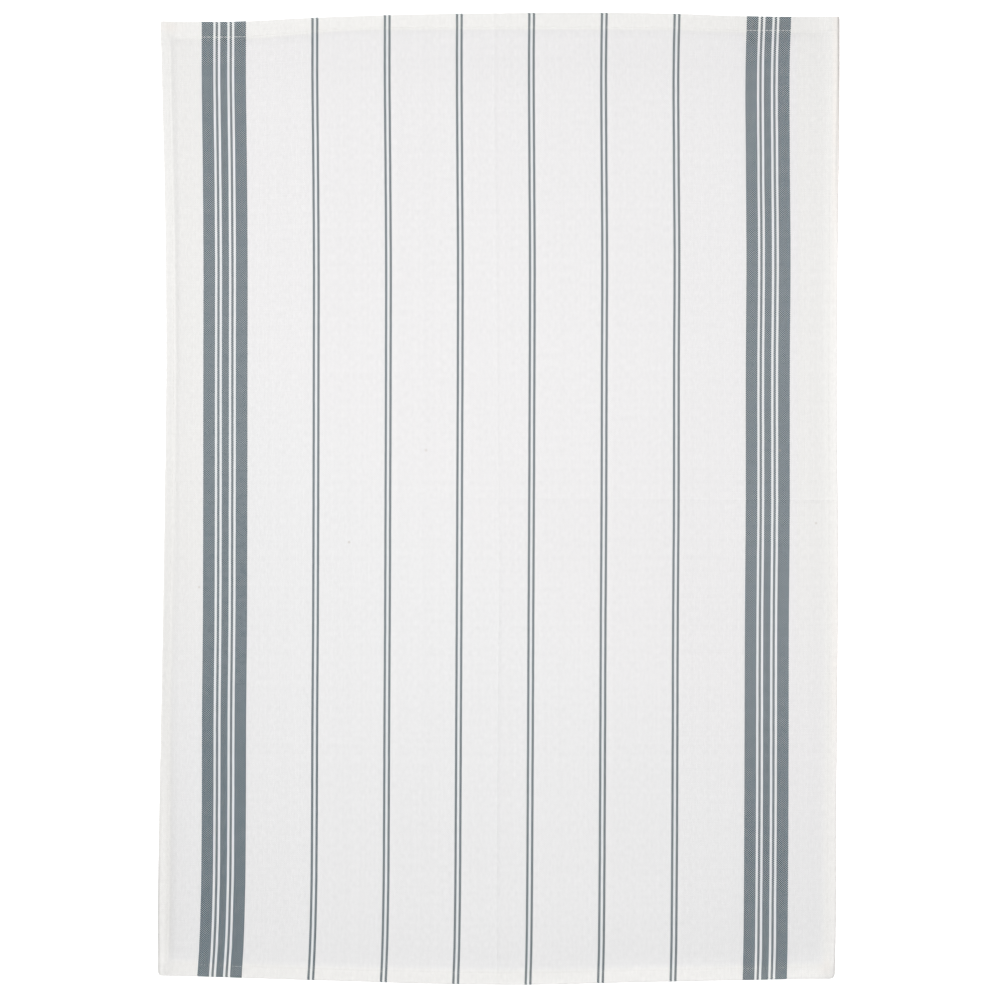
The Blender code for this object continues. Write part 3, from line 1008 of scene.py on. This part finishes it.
upper = (metres_y + LOWER_LEAN * metres_x).spread(*LOWER_EDGE)
in_margin = metres_x.to("ABSOLUTE").spread(*MARGIN_START) * metres_y.spread(*MARGIN_HEIGHT)
open_white = weave.blend(in_margin, weave.blend(upper, LOWER_WHITE, WHITE), MARGIN_WHITE)
warm = mark("hem_warmth") * weave.noise(loose, scale=60, detail=1.0).spread(*WARM_PATCHES)
white = weave.blend(mark("hem_layers"), open_white, weave.blend(warm, HEM_WHITE, HEM_WARM))
blue = weave.blend(fine_in_group + in_pair, BLUE, FINE_BLUE)
warp_white = weave.blend(between_dyed, white, DYE_TRACE, "MULTIPLY")
warp_colour = weave.blend(dyed, weave.shade(warp_white, warp_tone), weave.shade(blue, blue_tone))
weft_colour = weave.shade(white, WEFT_LIGHTER * weft_tone)
patchy = weave.noise(loose, scale=250, detail=1.0).spread(*HAZE_PATCHES)
haze = HAZE * metres_y.spread(*HAZE_FROM) * metres_y.spread(*HAZE_TO) * patchy
yarn_colour = weave.blend(warp_shows + haze * (VEILED_WARP - warp_shows), weft_colour, warp_colour)
# painted shade: the colour darkens down between the yarns, where their surface is low
depth = surface.spread(*GAP_DEPTH, GAP_SHADE, 1.0)
# the painted light and shade of hems and open cloth darkens or lightens the yarns' colour
colour = weave.shade(yarn_colour, depth * mark("painted_shading"))

here = weave.add("ShaderNodeTexCoord", {}, {}, "Object")
for nep_x, nep_y in NEPS:
    ends = {0: here, 1: (nep_x, nep_y, REST)}
    away = weave.add("ShaderNodeVectorMath", {"operation": "DISTANCE"}, ends, "Value")
    colour = weave.blend(away.spread(*NEP_EDGE), colour, NEP_BROWN)

weave.wear(colour, surface * WEAVE_RELIEF + FUZZ_RELIEF * weave.noise(loose, scale=400))
cloth.data.materials.append(weave.material)
print("woven cotton has", len(weave.tree.nodes), "nodes")

# %% [markdown]
# The thread is two plies twisted together. Its UV gives the length along it and the share of a
# turn round it, so a sine of both together draws the twist, as a bump and as painted shade that
# darkens the grooves between the plies.

# %% Sewing thread
THREAD_WHITE = (0.80, 0.79, 0.77, 1)
TWIST = 0.9 * MM         # length of thread in which a ply goes once round
PLY_TURNS = 4 * np.pi    # two plies, each a whole wave of the sine, in one turn
# PLY_SHADE is painted shade: the thread's colour darkens in the grooves between its plies
PLY_RELIEF, PLY_SHADE = 0.02 * MM, 0.03

thread = Finish("sewing_thread", Roughness=0.7, Sheen_Weight=0.1)
length, around = thread.split(thread.add("ShaderNodeUVMap", {"uv_map": "twist"}, {}))
ply = ((length / TWIST + around) * PLY_TURNS).to("SINE")
thread.wear(thread.shade(THREAD_WHITE, 1 - PLY_SHADE + PLY_SHADE * ply), ply * PLY_RELIEF)
for piece in (needle_thread, bobbin_thread):
    piece.data.materials.append(thread.material)
print("thread has", len(thread.tree.nodes), "nodes")

# %% [markdown]
# ## Floor, light and camera
# The towel was photographed from straight above on a white ground, lit so brightly that the
# ground is pure white and the cloth just short of it. We use a pale floor, a bright even sky,
# and one large lamp at the upper left that is far enough away to fall off only slightly. It
# gives each ridge and hem its lit side and its shaded side. A weaker lamp straight above leaves
# the ends of the towel a little darker than its middle.

# %% Studio
FLOOR_SIZE = 6.0
FLOOR_GLOW = 0.55        # brings the pale floor up to the photo's pure white
FLOOR_TONE, FLOOR_GRAIN = 0.97, 0.01
SKY = 0.383              # strength of the even light from all sides
LAMPS = {                # place, target, width and power of each round lamp
    "key_lamp": ((-1.5, 1.3, 2.6), (0, 0, 0), 1.2, 34.7),
    "top_lamp": ((0.022, 0.004, 1.26), (0.022, 0.004, 0), 0.6, 8.7),
}
CAMERA_HEIGHT = 1.7115
CAMERA_PLACE = (0.00070, -0.00064)
LENS, FILM = 85.0, 36.0                # in millimetres

floor_paint = Finish("pale_floor", Roughness=1.0, Specular_IOR_Level=0.0,
                     Emission_Color=(1, 1, 1, 1), Emission_Strength=FLOOR_GLOW)
grain = floor_paint.noise(floor_paint.add("ShaderNodeTexCoord", {}, {}, "Object"), scale=60)
floor_tone = FLOOR_TONE + FLOOR_GRAIN * grain
floor_colour = floor_paint.join(floor_tone, floor_tone, floor_tone)
floor_paint.plug(floor_paint.shader.inputs["Base Color"], floor_colour)
corner_signs = np.array([(-1, -1), (1, -1), (1, 1), (-1, 1)])
floor_corners = np.column_stack([corner_signs * FLOOR_SIZE / 2, np.zeros(4)])
floor = make_piece("floor", floor_corners, [[0, 1, 2, 3]], corner_signs * 0.5 + 0.5, "floor")
floor.data.materials.append(floor_paint.material)

world = bpy.data.worlds.new("studio")
world.use_nodes = True
world.node_tree.nodes["Background"].inputs["Color"].default_value = (1, 1, 1, 1)
world.node_tree.nodes["Background"].inputs["Strength"].default_value = SKY
bpy.context.scene.world = world


def aim(thing, place, target):
    """Stand a lamp at a place and point its -Z at the target."""
    thing.location = place
    direction = Vector(target) - Vector(place)
    thing.rotation_euler = direction.to_track_quat("-Z", "Y").to_euler()
    bpy.context.scene.collection.objects.link(thing)


for name, (place, target, size, power) in LAMPS.items():
    lamp_data = bpy.data.lights.new(name, "AREA")
    lamp_data.shape = "DISK"
    lamp_data.size = size
    lamp_data.energy = power
    lamp = bpy.data.objects.new(name, lamp_data)
    lamp.visible_camera = False
    aim(lamp, place, target)

camera_data = bpy.data.cameras.new("overhead")
camera_data.lens = LENS
camera_data.sensor_width = FILM
camera = bpy.data.objects.new("overhead", camera_data)
camera.location = (*CAMERA_PLACE, CAMERA_HEIGHT)
bpy.context.scene.collection.objects.link(camera)
bpy.context.scene.camera = camera
bpy.context.scene.view_settings.view_transform = "Standard"
print("the camera sees", round(CAMERA_HEIGHT * FILM / LENS, 4), "m across")
